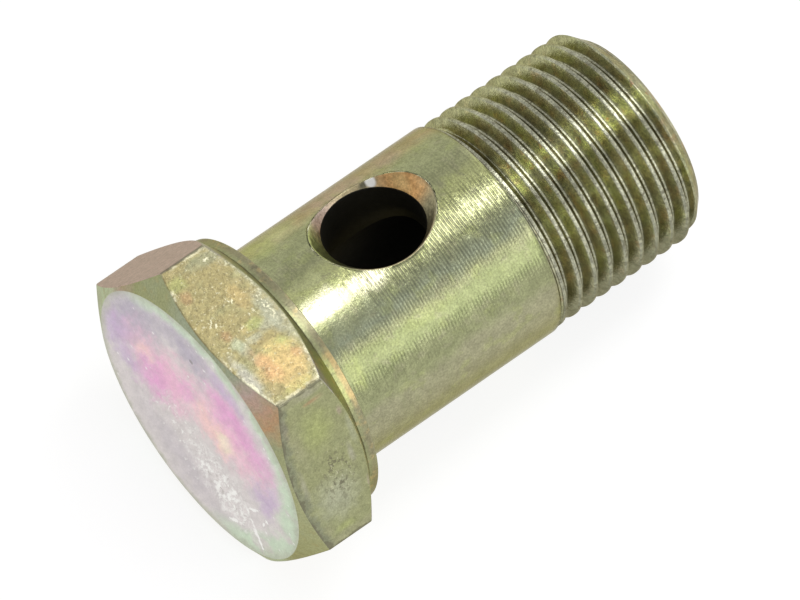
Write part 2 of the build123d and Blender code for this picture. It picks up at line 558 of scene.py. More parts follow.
def holes_and_band(skin, shaft, turn, edge_break):
    """The neck's band with both ends of the cross hole, and the bore's band under it.

    Returns where each band starts and ends along the bolt, and the bore's turn for a turn on the
    neck.
    """
    centre = shaft.hole_turn
    both_ways = np.array([-1, 1])
    band = shaft.hole_place + both_ways * (shaft.hole_radius + shaft.sink_width + NECK_MARGIN)
    bore_band = shaft.hole_place + both_ways * (shaft.hole_radius + BORE_MARGIN)
    sides = np.linspace(0, 1, SIDE_STEPS + 1)
    count = len(turn)
    half = int(round(NECK_REACH / (2 * np.pi) * count))
    middle = int(np.argmin(abs(turn - centre)))

    def turn_at(index):
        return turn[index % count] + 2 * np.pi * (index // count)

    first_hole = middle - half + np.arange(2 * half + 1)
    reach = turn_at(first_hole)[[0, -1]] - centre

    def bore_turn(neck_turn):
        """The bore's own spacing of the same turns, wider at the holes."""
        quarter = np.pi / 2
        off = (neck_turn - centre + quarter) % np.pi - quarter
        marks = [-quarter, reach[0], 0, reach[1], quarter]
        spread = [-quarter, -BORE_REACH, 0, BORE_REACH, quarter]
        return neck_turn - off + np.interp(off, marks, spread)

    for end in (0, 1):
        span = first_hole + end * (count // 2)
        turns = turn_at(span)
        x = np.concatenate(
            [
                np.full(len(span) - 1, band[0]),
                band[0] + sides[:-1] * np.ptp(band),
                np.full(len(span) - 1, band[1]),
                band[1] - sides[:-1] * np.ptp(band),
            ]
        )
        up, down = np.full(SIDE_STEPS, turns[-1]), np.full(SIDE_STEPS, turns[0])
        around = np.concatenate([turns[:-1], up, turns[:0:-1], down])
        bore_x = bore_band[0] + (x - band[0]) / np.ptp(band) * np.ptp(bore_band)
        hole = Hole(shaft, centre + end * np.pi, x, around)
        add_hole(skin, hole, (x, around), (bore_x, bore_turn(around)), edge_break)
        plain = turn_at(np.arange(span[-1], span[0] + count // 2 + 1))[:, None]
        skin.add(spun(band[0] + sides * np.ptp(band), shaft.neck_radius, plain), NECK)
        bore_side = bore_band[0] + sides * np.ptp(bore_band)
        skin.add(spun(bore_side, shaft.bore_radius, bore_turn(plain)), BORE)
    return band, bore_band, bore_turn


def bolt_skin(head, shaft, thread):
    """The whole bolt: head, neck with its holes, thread, end, and the bore to its drill point."""
    skin = Skin()
    turn = turns_round(head)
    column = turn[:, None]
    outline, zones = head_outline(head, shaft, turn)
    skin.add(spun(outline[..., 0], outline[..., 1], column), zones, closed=True)
    band, bore_band, bore_turn = holes_and_band(skin, shaft, turn, head.edge_break * RIM_BREAK)

    def ring(x, r, zone, turns=column):
        skin.add(spun(np.asarray(x), np.asarray(r), turns), zone, closed=True)

    neck_stop = shaft.neck_end - thread.lead_in
    ring(np.linspace(wall_start(head, shaft), band[0], NECK_ROWS), shaft.neck_radius, NECK)
    ring(np.linspace(band[1], neck_stop, NECK_ROWS), shaft.neck_radius, NECK)
    skin.add(thread_surface(shaft, thread, turn), THREAD)

    end_radius = thread.crest_radius - (shaft.bolt_length - thread.chamfer_from)
    mouth_radius = shaft.bore_radius + (shaft.bolt_length - shaft.bore_mouth)
    corners = [
        (end_of(thread), root_of(thread)),
        (shaft.bolt_length, end_radius),
        (shaft.bolt_length, mouth_radius),
        (shaft.bore_mouth, shaft.bore_radius),
        (bore_band[1], shaft.bore_radius),
    ]
    corners = [np.array(c) for c in corners]
    rows = [corners[0][None]]
    for before, corner, after in zip(corners, corners[1:], corners[2:]):
        rows.append(arc(before, corner, after, head.edge_break * END_BREAK))
    rows = np.concatenate(rows)
    ring(rows[:, 0], rows[:, 1], END)
    # Up the bore, the even turns of the mouth change into the bore band's own spacing.
    inside = bore_turn(column)
    share = np.linspace(0, 1, 9)
    start = rows[-1, 0]
    ring(
        start + (bore_band[1] - start) * share,
        shaft.bore_radius,
        BORE,
        column + (inside - column) * share,
    )
    point = shaft.bore_radius / np.tan(shaft.drill_point / 2)
    shoulder = shaft.bore_mouth - shaft.bore_depth
    ring([bore_band[0], shoulder], shaft.bore_radius, BORE, inside)
    ring(
        shoulder - np.linspace(0, 1, 5) * point,
        shaft.bore_radius * np.linspace(1, 0, 5),
        BORE,
        inside,
    )
    return skin


EDGE_TINT = (0.60, 0.56, 0.42)  # of the metal seen edge-on
FEED = 0.2535  # of the lathe's tool along the neck, in millimetres a turn
FACING_FEED = 0.2  # and on the chamfers, the washer face and the end
SINK_SLOPE = np.tan(SINK_ANGLE / 2 * DEGREE)  # of the countersinks, out for each millimetre up
SINK_REACH = HOLE_RADIUS + SINK_WIDTH - NECK_OUT * SINK_SLOPE  # of their cones at the bolt's axis
ROOT_OUT, CREST_OUT = 7.36, 8.22  # radii of the thread's roots and crests


class Nodes:
    """A node tree, with short ways to add nodes and join them."""

    def __init__(self, tree):
        self.tree = tree

    def node(self, kind, *values, **settings):
        """Adds a node, and joins the values to its sockets in order."""
        node = self.tree.nodes.new("ShaderNode" + kind)
        for name, setting in settings.items():
            setattr(node, name, setting)
        for socket, value in zip(node.inputs, values):
            self.join(socket, value)
        return node

    def join(self, socket, value):
        """Links a socket to another, or sets it to a number, a place or a colour."""
        if isinstance(value, bpy.types.NodeSocket):
            self.tree.links.new(value, socket)
        elif socket.type == "RGBA":
            socket.default_value = (*value[:3], 1.0)
        else:
            socket.default_value = value

    def math(self, operation, *values):
        return self.node("Math", *values, operation=operation).outputs[0]

    def vector(self, operation, *values):
        return self.node("VectorMath", *values, operation=operation).outputs[0]

    def span(self, operation, *values):
        """A vector operation whose result is one number."""
        return self.node("VectorMath", *values, operation=operation).outputs["Value"]

    def seen_directly(self):
        """1 for what the camera sees, straight or in metal or through glass, and 0 for light."""
        path = self.node("LightPath").outputs
        return self.either(*(path[f"Is {ray} Ray"] for ray in ("Camera", "Glossy", "Transmission")))

    def both(self, *masks):
        """The product of some masks."""
        product = masks[0]
        for mask in masks[1:]:
            product = self.math("MULTIPLY", product, mask)
        return product

    def either(self, *masks):
        """The greatest of some masks."""
        greatest = masks[0]
        for mask in masks[1:]:
            greatest = self.math("MAXIMUM", greatest, mask)
        return greatest

    def between(self, value, low, high):
        """From 0 to 1 as the value goes from low to high."""
        return self.node("MapRange", value, low, high).outputs[0]

    def spread(self, value, low, high):
        """From low to high as the value goes from 0 to 1."""
        return self.node("MapRange", value, 0.0, 1.0, low, high).outputs[0]

    def rise(self, value, low, high):
        """0 up to low and 1 from high, smooth between them. A low above its high falls instead."""
        return self.node(
            "MapRange", value, low, high, 0.0, 1.0, interpolation_type="SMOOTHSTEP"
        ).outputs[0]

    def mix(self, factor, first, second):
        node = self.node("Mix", data_type="RGBA")
        for index, value in ((0, factor), (6, first), (7, second)):
            self.join(node.inputs[index], value)
        return node.outputs[2]


class Finish(Nodes):
    """The nodes of one metal, with places in millimetres on the bolt's own axes."""

    def __init__(self, name, edge_tint=EDGE_TINT):
        self.material = bpy.data.materials.new(name)
        self.material.use_nodes = True
        super().__init__(self.material.node_tree)
        self.shader = self.tree.nodes["Principled BSDF"]
        self.shader.inputs["Metallic"].default_value = 1.0
        self.shader.inputs["Specular Tint"].default_value = (*edge_tint, 1.0)
        axes = Matrix((ALONG, DOWN, ACROSS)).transposed().to_euler()
        coordinates = self.node("TexCoord").outputs["Object"]
        place = self.node("Mapping", coordinates, ORIGIN, axes, (MM, MM, MM), vector_type="TEXTURE")
        self.place = place.outputs[0]
        self.along, self.down, self.across = self.node("SeparateXYZ", self.place).outputs
        square = self.math("MULTIPLY", self.down, self.down)
        self.radius = self.math("SQRT", self.math("MULTIPLY_ADD", self.across, self.across, square))
        self.ragged = self.noise(1.1, detail=6, rough=0.62)

    def frayed(self, value, amount):
        """A value that wanders with the ragged noise, by up to this amount."""
        return self.math("MULTIPLY_ADD", self.ragged, amount, value)

    def noise(self, scale, detail=2.0, stretch=(1.0, 1.0, 1.0), shift=0.0, rough=0.55, place=None):
        """Cloudy noise, a cloud to each 1/scale millimetres."""
        place = self.place if place is None else place
        place = self.node("Mapping", place, (shift, shift, 0), (0, 0, 0), stretch).outputs[0]
        node = self.node("TexNoise", place)
        node.inputs["Scale"].default_value = scale
        node.inputs["Detail"].default_value = detail
        node.inputs["Roughness"].default_value = rough
        return node.outputs[0]

    def clouds(self, scale, low, high, **options):
        return self.rise(self.noise(scale, **options), low, high)

    def specks(self, scale, size, shift=0.0, stretch=(1.0, 1.0, 1.0)):
        """Round specks, at most one in each 1/scale millimetres: 1 in a speck."""
        place = self.node("Mapping", self.place, (shift, shift, 0), (0, 0, 0), stretch).outputs[0]
        node = self.node("TexVoronoi", place)
        node.inputs["Scale"].default_value = scale
        return self.rise(node.outputs["Distance"], size, size * 0.4)

    def layers(self, colour, *over):
        """Lays colours over one another, each through its mask."""
        for mask, tone in over:
            colour = self.mix(mask, colour, tone)
        return colour

    def patch(self, place, centre, size, ragged=0.9, soft=0.6):
        """A patch about a place, as an ellipse or ellipsoid with a ragged edge: 1 inside it."""
        if len(centre) == 2:
            centre, size = (*centre, 0.0), (*size, 1.0)
        away = self.vector("DIVIDE", self.vector("SUBTRACT", place, centre), size)
        reach = self.frayed(self.span("LENGTH", away), ragged)
        return self.rise(reach, 1.0 + ragged / 2, 1.0 + ragged / 2 - soft)

    def stains(self, colour, place, only, *stains, ragged=0.9, soft=0.6):
        """Lays patches of colour over one another, each as (centre, size, strength, tone)."""
        for centre, size, strength, tone in stains:
            mask = self.both(self.patch(place, centre, size, ragged, soft), only, strength)
            colour = self.mix(mask, colour, tone)
        return colour

    def scratch(self, start, end, width):
        """A ragged scratch from one place to another: 1 on the line between them."""
        run = [b - a for a, b in zip(start, end)]
        from_start = self.vector("SUBTRACT", self.place, start)
        along = self.span("DOT_PRODUCT", from_start, run)
        share = self.math("DIVIDE", along, sum(part * part for part in run))
        share = self.node("Clamp", share, 0.0, 1.0).outputs[0]
        share = self.node("CombineXYZ", share, share, share).outputs[0]
        nearest = self.vector("MULTIPLY_ADD", run, share, start)
        fray = 1.5
        away = self.frayed(self.span("DISTANCE", self.place, nearest), fray)
        return self.rise(away, fray / 2 + width, fray / 2 + width * 0.2)

    def shade(self, colour, amount, low, high):
        """Scales a colour by a factor that goes from low to high as the amount goes from 0 to 1."""
        node = self.node("VectorMath", colour, operation="SCALE")
        self.join(node.inputs["Scale"], self.spread(amount, low, high))
        return node.outputs[0]

    def grained(self, colour, depth):
        """Grain a few hundredths of a millimetre across, lighter and darker by this depth."""
        grain = self.clouds(6.5, 0.34, 0.66, detail=5, rough=0.75)
        return self.shade(colour, grain, 1 - depth, 1 + depth)

    def sheet(self, first, second):
        """Two distances as a place on a flat surface."""
        return self.node("CombineXYZ", first, second, 0.0).outputs[0]

    def turn_share(self):
        """Share of the way round the bolt, from 20 degrees past the flat underneath."""
        angle = self.math("ARCTAN2", self.towards(290), self.towards(200))
        return self.math("MULTIPLY_ADD", angle, 0.5 / np.pi, 0.5)

    def sector(self, start, full, fading=None, stop=None):
        """1 round part of the bolt: it rises from start to full, and falls from fading to stop."""
        share = self.turn_share()
        mask = self.rise(share, turn_place(start), turn_place(full))
        if stop is None:
            return mask
        return self.both(mask, self.rise(share, turn_place(stop), turn_place(fading)))

    def round_ramp(self, wander, *stops):
        """Colours round the bolt, each with its turn from 20 to 380 degrees, wandering a little."""
        drift = self.noise(0.45, detail=5, shift=5)
        share = self.math("MULTIPLY_ADD", drift, wander, self.turn_share())
        share = self.math("SUBTRACT", share, wander / 2)
        return self.ramp(share, *((turn_place(turn), tone) for turn, tone in stops))

    def relief(self, *heights):
        """Bump from heights in millimetres."""
        total = heights[0]
        for height in heights[1:]:
            total = self.math("ADD", total, height)
        bump = self.node("Bump")
        bump.inputs["Distance"].default_value = MM
        self.join(bump.inputs["Height"], total)
        self.join(self.shader.inputs["Normal"], bump.outputs[0])

    def ramp(self, value, *stops):
        """Colours along a value from 0 to 1."""
        node = self.node("ValToRGB", value)
        elements = node.color_ramp.elements
        elements.remove(elements[1])
        for index, (place, tone) in enumerate(stops):
            element = elements[0] if index == 0 else elements.new(place)
            element.position = place
            element.color = (*tone, 1.0)
        return node.outputs[0]

    def towards(self, degrees):
        """Distance out from the axis, in the direction at this turn round the bolt."""
        return self.span("DOT_PRODUCT", self.place, spot_on(0, 1, degrees))

    def corner_reach(self):
        """Distance out from the axis towards the nearest corner of the hexagon."""
        return self.either(*(self.math("ABSOLUTE", self.towards(turn)) for turn in (30, 90, 150)))

    def turned(self, feed, drawn=0.6):
        """Feed marks of a lathe, this far apart: 1 in the bottom of each groove.

        The shine is drawn out along the bolt, across the marks.
        """
        wander = self.frayed(self.along, feed * 0.6)
        wave = self.math("SINE", self.math("MULTIPLY", wander, 2 * np.pi / feed))
        tangent = self.node("Tangent", direction_type="UV_MAP", uv_map="turned")
        self.join(self.shader.inputs["Tangent"], tangent.outputs[0])
        self.shader.inputs["Anisotropic"].default_value = drawn
        return self.math("MULTIPLY_ADD", wave, 0.5, 0.5)

    def metal(self, colour, roughness):
        self.join(self.shader.inputs["Base Color"], colour)
        self.join(self.shader.inputs["Roughness"], roughness)
        return self.material


def turn_place(degrees):
    """Where a turn lies from 20 to 380 degrees, as turn_share gives it."""
    return (degrees - 20) / 360


def spot_on(x, radius, degrees):
    """A place in millimetres on the bolt's own axes, from its turn round the bolt."""
    turn = degrees * DEGREE
    return (x, radius * np.cos(turn), radius * np.sin(turn))


END_TURN, SIDE_TURN = 291, 201  # the outer face's long and short way, as turns round the bolt


def on_face(end, side):
    """A place on the outer face, from its two axes in millimetres."""
    across_end, across_side = spot_on(0, end, END_TURN), spot_on(0, side, SIDE_TURN)
    return [a + b for a, b in zip(across_end, across_side)]


def face_finish(tones):
    """The outer face: films of pink, peach and lilac, a green rim, and scuffs on its low side."""
    f = Finish("face", (1.0, 1.0, 1.0))
    end, side = f.towards(END_TURN), f.towards(SIDE_TURN)
    drawn = f.sheet(end, f.math("MULTIPLY", side, 0.45))  # the films' grain runs along side
    drift = f.noise(0.75, detail=5, rough=0.66, shift=3, place=drawn)
    sway = f.spread(drift, -2.25, 2.25)
    place = f.sheet(f.math("ADD", end, sway), f.math("SUBTRACT", side, sway))
    grain = f.noise(4.0, detail=6, rough=0.75)
    colour = f.stains(
        tones.pearl,
        place,
        1.0,
        ((-8.6, 1.5), (4.4, 9.0), 0.8, tones.haze),
        ((-4.6, 6.8), (5.0, 3.6), 0.75, tones.haze),
        ((-8.6, -2.6), (2.4, 4.4), 0.75, tones.lilac),
        ((-6.4, -4.4), (2.4, 2.6), 0.6, tones.lilac),
        ((1.6, 3.8), (7.0, 5.0), 0.85, tones.blush),
        ((-3.6, 0.2), (4.4, 5.2), 0.85, tones.blush),
        ((-7.2, -0.6), (2.6, 4.6), 0.4, tones.blush),
        ((-4.4, -2.2), (2.7, 4.6), 0.75, tones.orchid),
        ((-2.4, 1.8), (2.0, 2.2), 0.5, tones.orchid),
        ((-0.2, 6.4), (2.8, 3.0), 0.6, tones.orchid),
        ((2.2, 6.2), (4.2, 2.8), 0.7, tones.orchid),
        ((4.8, 6.0), (2.6, 2.4), 0.4, tones.orchid),
        ((6.6, 3.0), (2.0, 4.0), 0.7, tones.lilac),
        ((-0.8, 8.3), (3.6, 1.4), 0.6, tones.lilac),
        ((0.8, 1.9), (3.4, 2.8), 0.95, tones.shell),
        ((2.0, 2.2), (1.6, 1.6), 0.6, tones.cream),
        ((-6.2, -1.0), (1.1, 2.2), 0.75, tones.shell),
        ((1.0, -7.0), (9.0, 3.6), 0.3, tones.haze),
        ragged=0.7,
        soft=1.0,
    )
    rim = f.math("MULTIPLY_ADD", drift, 2.4, f.radius)
    upper, right = f.rise(side, 1.5, 6.0), f.rise(end, 4.5, 8.0)
    broken = f.clouds(0.42, 0.34, 0.50, detail=5, shift=14)
    scuffed = f.patch(place, (4.4, -3.4), (5.6, 3.6), 1.0, 0.9)
    faint = f.patch(place, (1.6, -3.8), (8.0, 5.0), 1.0, 0.9)
    upright = f.sheet(end, f.math("MULTIPLY", side, 0.42))
    slanted = f.math("MULTIPLY", f.math("SUBTRACT", end, side), 0.4)
    slanted = f.sheet(f.math("ADD", end, side), slanted)
    strokes = f.clouds(1.7, 0.50, 0.56, detail=6, rough=0.74, place=upright, shift=1)
    cross_strokes = f.clouds(1.3, 0.56, 0.62, detail=6, rough=0.74, place=slanted, shift=9)
    thin = f.clouds(2.4, 0.56, 0.62, detail=6, rough=0.74, place=upright, shift=6)
    flecks = f.both(f.specks(1.2, 0.2, shift=4), f.clouds(0.5, 0.5, 0.6, shift=5))
    scratches = (
        ((6.6, -1.8), (9.2, -3.7), 0.24),
        ((7.0, 0.2), (6.5, -1.4), 0.16),
        ((4.9, -4.4), (5.1, -1.8), 0.18),
        ((7.9, 0.1), (8.0, -0.9), 0.14),
        ((6.4, -5.8), (7.0, -4.6), 0.2),
    )
    lines = [f.scratch(on_face(*start), on_face(*stop), width) for start, stop, width in scratches]
    marks = f.either(
        f.both(scuffed, f.either(strokes, cross_strokes)),
        f.both(faint, thin, 0.85),
        f.both(flecks, 0.6),
        f.both(f.either(*lines), 0.9),
    )
    pit = f.patch(f.place, spot_on(0, 7.24, 169.1), (0.3, 0.26, 0.26), 0.2, 0.5)
    colour = f.layers(
        colour,
        (f.both(f.rise(rim, 9.6, 11.2), right, 0.35), tones.silver),
        (f.both(f.rise(rim, 10.2, 11.4), upper, broken, 0.9), tones.foam),
        (f.both(f.rise(rim, 9.4, 10.8), right, broken, 0.9), tones.foam),
        (f.both(f.rise(rim, 11.0, 12.0), 0.7), tones.silver),
        (f.both(scuffed, 0.12), tones.white),
    )
    colour = f.grained(colour, 0.06)
    streaked = f.clouds(1.3, 0.3, 0.7, detail=6, rough=0.72, place=upright, shift=7)
    colour = f.shade(colour, streaked, 0.94, 1.12)
    dull = f.clouds(2.6, 0.54, 0.66, detail=5, place=upright, shift=13)
    colour = f.layers(
        colour,
        (f.both(scuffed, dull, 0.6), tones.ash),
        (marks, tones.white),
        (f.both(pit, 0.5), tones.shade_and_pit_dark),
    )
    f.relief(
        f.both(grain, 0.006),
        f.both(marks, -0.012),
        f.both(f.noise(1.1, detail=2), 0.03),
        f.both(pit, -0.05),
    )
    return f.metal(colour, f.spread(grain, 0.30, 0.55))


def flats_finish(tones):
    """The six flats: drawn bar under the plating, pitted and grained, each with its own tint, and
    painted glints, highlight and shade.
    """
    f = Finish("flats")
    top, behind, near = (
        f.rise(f.towards(turn), FLAT_OUT - 0.10, FLAT_OUT - 0.02) for turn in (180, 120, 240)
    )
    # Distances along the bolt from the two chamfers' cones, whose edges on the flats are curves.
    face_slope, seat_slope = np.tan(FACE_CHAMFER * DEGREE), np.tan(SEAT_CHAMFER * DEGREE)
    from_chamfer = f.math("MULTIPLY_ADD", f.radius, -face_slope, f.along)
    from_chamfer = f.math("ADD", from_chamfer, FACE_OUT * face_slope)
    from_seat = f.math("MULTIPLY_ADD", f.radius, -seat_slope, SHOULDER + WASHER_OUT * seat_slope)
    from_seat = f.math("SUBTRACT", from_seat, f.along)
    ragged_seat, ragged_chamfer = f.frayed(from_seat, 1.6), f.frayed(from_chamfer, 1.6)
    top_place = f.sheet(f.along, f.towards(270))
    near_place = f.sheet(f.along, f.towards(330))
    reach = f.frayed(f.corner_reach(), 0.30)
    corner = f.rise(reach, CORNER_OUT + 0.04, CORNER_OUT + 0.10)
    beside_corner = f.rise(reach, CORNER_OUT - 0.28, CORNER_OUT - 0.06)
    glint = f.rise(reach, CORNER_OUT - 0.06, CORNER_OUT + 0.02)
    colour = f.layers(
        tones.khaki,
        (f.both(f.clouds(0.5, 0.44, 0.68, detail=4, shift=7), 0.5), tones.olive),
        (f.both(f.clouds(0.8, 0.50, 0.70, detail=5, shift=4), 0.25), tones.tan),
        (f.both(behind, 0.9), tones.rose),
        (f.both(behind, 0.15), tones.blush),
        (f.both(behind, 0.15), tones.pearl),
        (f.both(near, 0.9), tones.reed),
    )
    colour = f.stains(
        colour,
        top_place,
        top,
        ((4.3, -5.4), (2.6, 0.7), 0.5, tones.grey_green),
        ((2.0, 1.7), (0.7, 0.6), 0.6, tones.silver),
        ((3.1, 1.3), (0.9, 0.45), 0.6, tones.silver),
        ((4.4, 1.0), (0.9, 0.6), 0.65, tones.silver),
        ((5.2, 0.6), (0.9, 2.8), 0.8, tones.silver),
        ((0.9, 3.6), (0.8, 3.0), 0.75, tones.silver),
        ((0.8, 3.6), (0.6, 2.4), 0.3, tones.pearl),
        ((1.8, 1.0), (0.6, 0.8), 0.4, tones.foam),
        ((3.6, 0.4), (1.1, 0.6), 0.55, tones.moss),
        ((1.5, -5.0), (0.9, 0.8), 0.55, tones.moss),
        ((1.3, -3.8), (0.6, 0.7), 0.45, tones.rust),
        ((1.6, 0.1), (0.6, 0.7), 0.5, tones.rust),
        ((2.9, 0.4), (0.5, 0.5), 0.4, tones.peach),
        ((4.2, -1.8), (0.8, 1.4), 0.4, tones.peach),
        ((3.6, 2.7), (1.3, 0.9), 0.5, tones.lemon),
        ((4.4, 2.7), (0.8, 0.9), 0.85, tones.lemon),
        ((3.3, 5.7), (1.6, 0.5), 0.6, tones.lemon),
        ((3.5, 3.9), (2.4, 2.6), 0.9, tones.peach),
        ((2.1, 2.3), (0.6, 0.9), 0.6, tones.tan),
        ((2.5, 3.6), (0.8, 1.9), 0.5, tones.amber),
        ((4.7, 3.7), (0.5, 0.7), 0.4, tones.amber),
        ragged=1.4,
        soft=0.7,
    )
    colour = f.stains(
        colour,
        near_place,
        near,
        ((3.0, 2.9), (2.7, 2.6), 0.6, tones.silver),
        ((1.4, -2.2), (0.9, 2.6), 0.5, tones.drab),
        ((3.2, -3.0), (1.8, 2.6), 0.55, tones.moss),
        ((3.4, -6.0), (1.4, 0.5), 0.5, tones.ash),
        ((0.9, -4.4), (0.5, 1.6), 0.4, tones.rose),
        ((0.9, 0.6), (0.4, 1.8), 0.35, tones.ash),
        ((1.5, 5.0), (0.8, 0.8), 0.5, tones.drab),
        ((2.8, 5.3), (1.2, 0.5), 0.5, tones.moss),
        ((3.7, -5.2), (1.1, 0.35), 0.65, tones.tan),
        ((3.4, -5.2), (0.8, 0.2), 0.5, tones.rust),
        ((5.6, -1.5), (0.4, 2.0), 0.4, tones.silver),
        ((5.7, 3.4), (0.4, 1.0), 0.7, tones.rose),
        ((5.2, -3.2), (0.3, 0.6), 0.5, tones.rose),
        ((5.0, 0.4), (0.4, 1.2), 0.4, tones.ash),
        ragged=0.8,
        soft=0.9,
    )
    pitted = f.patch(near_place, (3.6, 1.2), (2.4, 3.8), 1.2, 1.0)
    pits = f.clouds(3.2, 0.52, 0.60, detail=4, shift=11, rough=0.62, stretch=(1, 0.75, 0.75))
    # Painted glints: cream specks, in these clusters and scattered over the top and near flats,
    # stand for light caught by bumps in the plating
    glint_places = (
        ((1.6, -1.2), (0.55, 0.6)),
        ((3.5, -2.0), (0.5, 0.5)),
        ((4.2, -0.4), (0.4, 0.5)),
        ((4.1, -5.4), (0.4, 0.4)),
        ((1.1, 0.9), (0.35, 0.3)),
        ((5.3, -0.4), (0.4, 1.8)),
        ((3.0, 0.3), (0.3, 0.3)),
    )
    glint_clusters = [f.patch(top_place, centre, size, 0.8, 0.6) for centre, size in glint_places]
    glint_grain = f.clouds(3.4, 0.57, 0.65, detail=5, shift=6, rough=0.66)
    few = f.clouds(2.2, 0.68, 0.76, detail=5, shift=16, rough=0.66)
    bright = f.clouds(4.0, 0.52, 0.60, detail=3, shift=8)
    specks = f.either(f.both(bright, f.either(*glint_clusters)), f.both(glint_grain, 0.5), few)
    specks = f.both(top, specks)
    # Painted shade: dark dots just beside the glint grain, the shaded side of the same bumps
    shaded_dimples = f.both(top, f.clouds(3.4, 0.60, 0.70, detail=5, shift=6.12, rough=0.66), 0.5)
    rubbed = f.both(f.rise(ragged_seat, 1.5, 0.7), f.clouds(3.4, 0.52, 0.64, detail=4, shift=17))
    # A painted highlight: a cream line where the top flat meets the face chamfer, a slight burr
    # with the light it catches painted on
    highlight_stretch = f.either(f.rise(f.towards(270), 0.8, 2.4), f.patch(top_place, (0.7, -4.3), (0.5, 0.7)))
    burr_highlight = f.both(f.rise(ragged_chamfer, 1.10, 0.90), highlight_stretch)
    colour = f.layers(
        colour,
        (f.both(f.rise(ragged_seat, 1.3, 0.7), top, 0.5), tones.silver),
        (f.both(near, f.rise(ragged_chamfer, 1.7, 1.0), 0.6), tones.slate),
        (f.both(beside_corner, near, 0.5), tones.drab),
        (f.both(glint, top, f.clouds(1.0, 0.40, 0.56, shift=23), 0.5), tones.cream),
    )
    colour = f.grained(colour, 0.13)
    coarse = f.clouds(3.0, 0.36, 0.64, detail=4, shift=21, rough=0.7)
    colour = f.layers(f.shade(colour, coarse, 0.92, 1.08), (f.both(near, 0.7), colour))
    colour = f.shade(colour, f.clouds(2.0, 0.35, 0.65, detail=6, shift=19, rough=0.72), 0.9, 1.1)
    colour = f.layers(
        colour,
        # Painted shade in the dots beside the glints, then the real pits
        (shaded_dimples, tones.shade_and_pit_dark),
        (f.both(pits, f.either(f.both(pitted, near), 0.12), 0.85), tones.shade_and_pit_dark),
        # Painted glints on the top and near flats
        (f.both(specks, 0.85), tones.cream),
        (f.both(near, f.either(few, f.both(glint_grain, pitted, 0.6)), 0.6), tones.cream),
        (f.both(rubbed, top, 0.6), tones.cream),
        # Painted highlight along the face chamfer's edge
        (f.both(top, burr_highlight, f.clouds(1.6, 0.36, 0.5, detail=4, shift=3), 0.75), tones.cream),
        # Painted shade: dark lines on the hexagon's rounded corners
        (f.both(corner, 0.75), tones.shade_and_pit_dark),
        # Painted shade: a dark line where the near flat meets the face chamfer
        (f.both(near, f.rise(ragged_chamfer, 1.0, 0.82), 0.7), tones.shade_and_pit_dark),
    )
    fine = f.noise(4.5, detail=5, rough=0.7)
    f.relief(
        f.both(fine, 0.009),
        f.both(pits, -0.008),
        f.both(f.noise(1.0, detail=1, shift=2), 0.02),
        f.both(specks, 0.004),
    )
    return f.metal(colour, f.spread(fine, 0.26, 0.48))


def chamfer_finish(tones):
    """The turned chamfer round the outer face, its plating's colour different round the head."""
    f = Finish("chamfer")
    f.turned(FACING_FEED)
    colour = f.round_ramp(
        0.05,
        (20, tones.foam),
        (108, tones.foam),
        (124, tones.rose),
        (136, tones.reed),
        (156, tones.reed),
        (164, tones.grey_green),
        (192, tones.grey_green),
        (200, tones.rose),
        (212, tones.rust),
        (224, tones.reed),
        (244, tones.olive),
        (290, tones.olive),
        (304, tones.foam),
        (380, tones.foam),
    )
    colour = f.layers(
        colour,
        (f.both(f.clouds(0.6, 0.46, 0.66, detail=5, shift=2), 0.4), tones.grey_green),
        (f.both(f.clouds(1.3, 0.54, 0.70, detail=5), 0.35), tones.khaki),
        (f.rise(f.frayed(f.along, 0.3), 0.16, 0.05), tones.silver),
    )
    colour = f.grained(colour, 0.14)
    f.relief(f.both(f.noise(4.0, detail=4), 0.03), f.both(f.noise(1.2, shift=1), 0.06))
    return f.metal(colour, 0.34)


def washer_finish(tones):
    """The turned seat chamfer and washer face: rings of green, olive and rust, painted shade in
    their corner and painted light by the strip.
    """
    f = Finish("washer")
    f.turned(FACING_FEED)
    wandering = f.math("MULTIPLY_ADD", f.noise(1.6, detail=5, rough=0.65), 0.4, f.along)
    colour = f.ramp(
        f.between(wandering, 5.3, 7.5),  # from the ends of the corners to past the seat
        (0.00, tones.ash),
        (0.12, tones.olive),
        (0.46, tones.olive),
        # Painted shade at the foot of the washer face, in its corner with the seat chamfer
        (0.53, tones.shade_and_pit_dark),
        (0.58, tones.reed),
        (0.74, tones.bronze),
        (0.84, tones.bronze),
        (0.90, tones.drab),
        (1.00, tones.drab),
    )
    colour = f.stains(
        colour,
        f.place,
        1.0,
        # Painted light by the strip: a painted highlight on the washer face, and a painted
        # reflection, brighter green, on the seat chamfer
        (spot_on(6.4, 10.6, 216), (0.5, 3.0, 3.0), 0.7, tones.lemon),
        (spot_on(6.9, 10.6, 216), (0.4, 3.0, 3.0), 0.8, tones.peach),
        (spot_on(5.9, 11.6, 214), (0.6, 3.6, 3.6), 0.8, tones.moss),
    )
    colour = f.layers(
        colour,
        (f.both(f.clouds(0.5, 0.46, 0.60, detail=4), 0.4), tones.olive),
        (f.both(f.clouds(1.4, 0.54, 0.66, detail=4, shift=4), 0.35), tones.peach),
        (f.both(f.clouds(1.9, 0.56, 0.68, detail=4, shift=9), 0.5), tones.shade_and_pit_dark),
    )
    colour = f.grained(colour, 0.16)
    f.relief(f.both(f.noise(5.0, detail=4), 0.015))
    return f.metal(colour, 0.34)


def on_neck(x, degrees):
    """A place just inside the neck's wall."""
    return spot_on(x, NECK_OUT - 0.05, degrees)


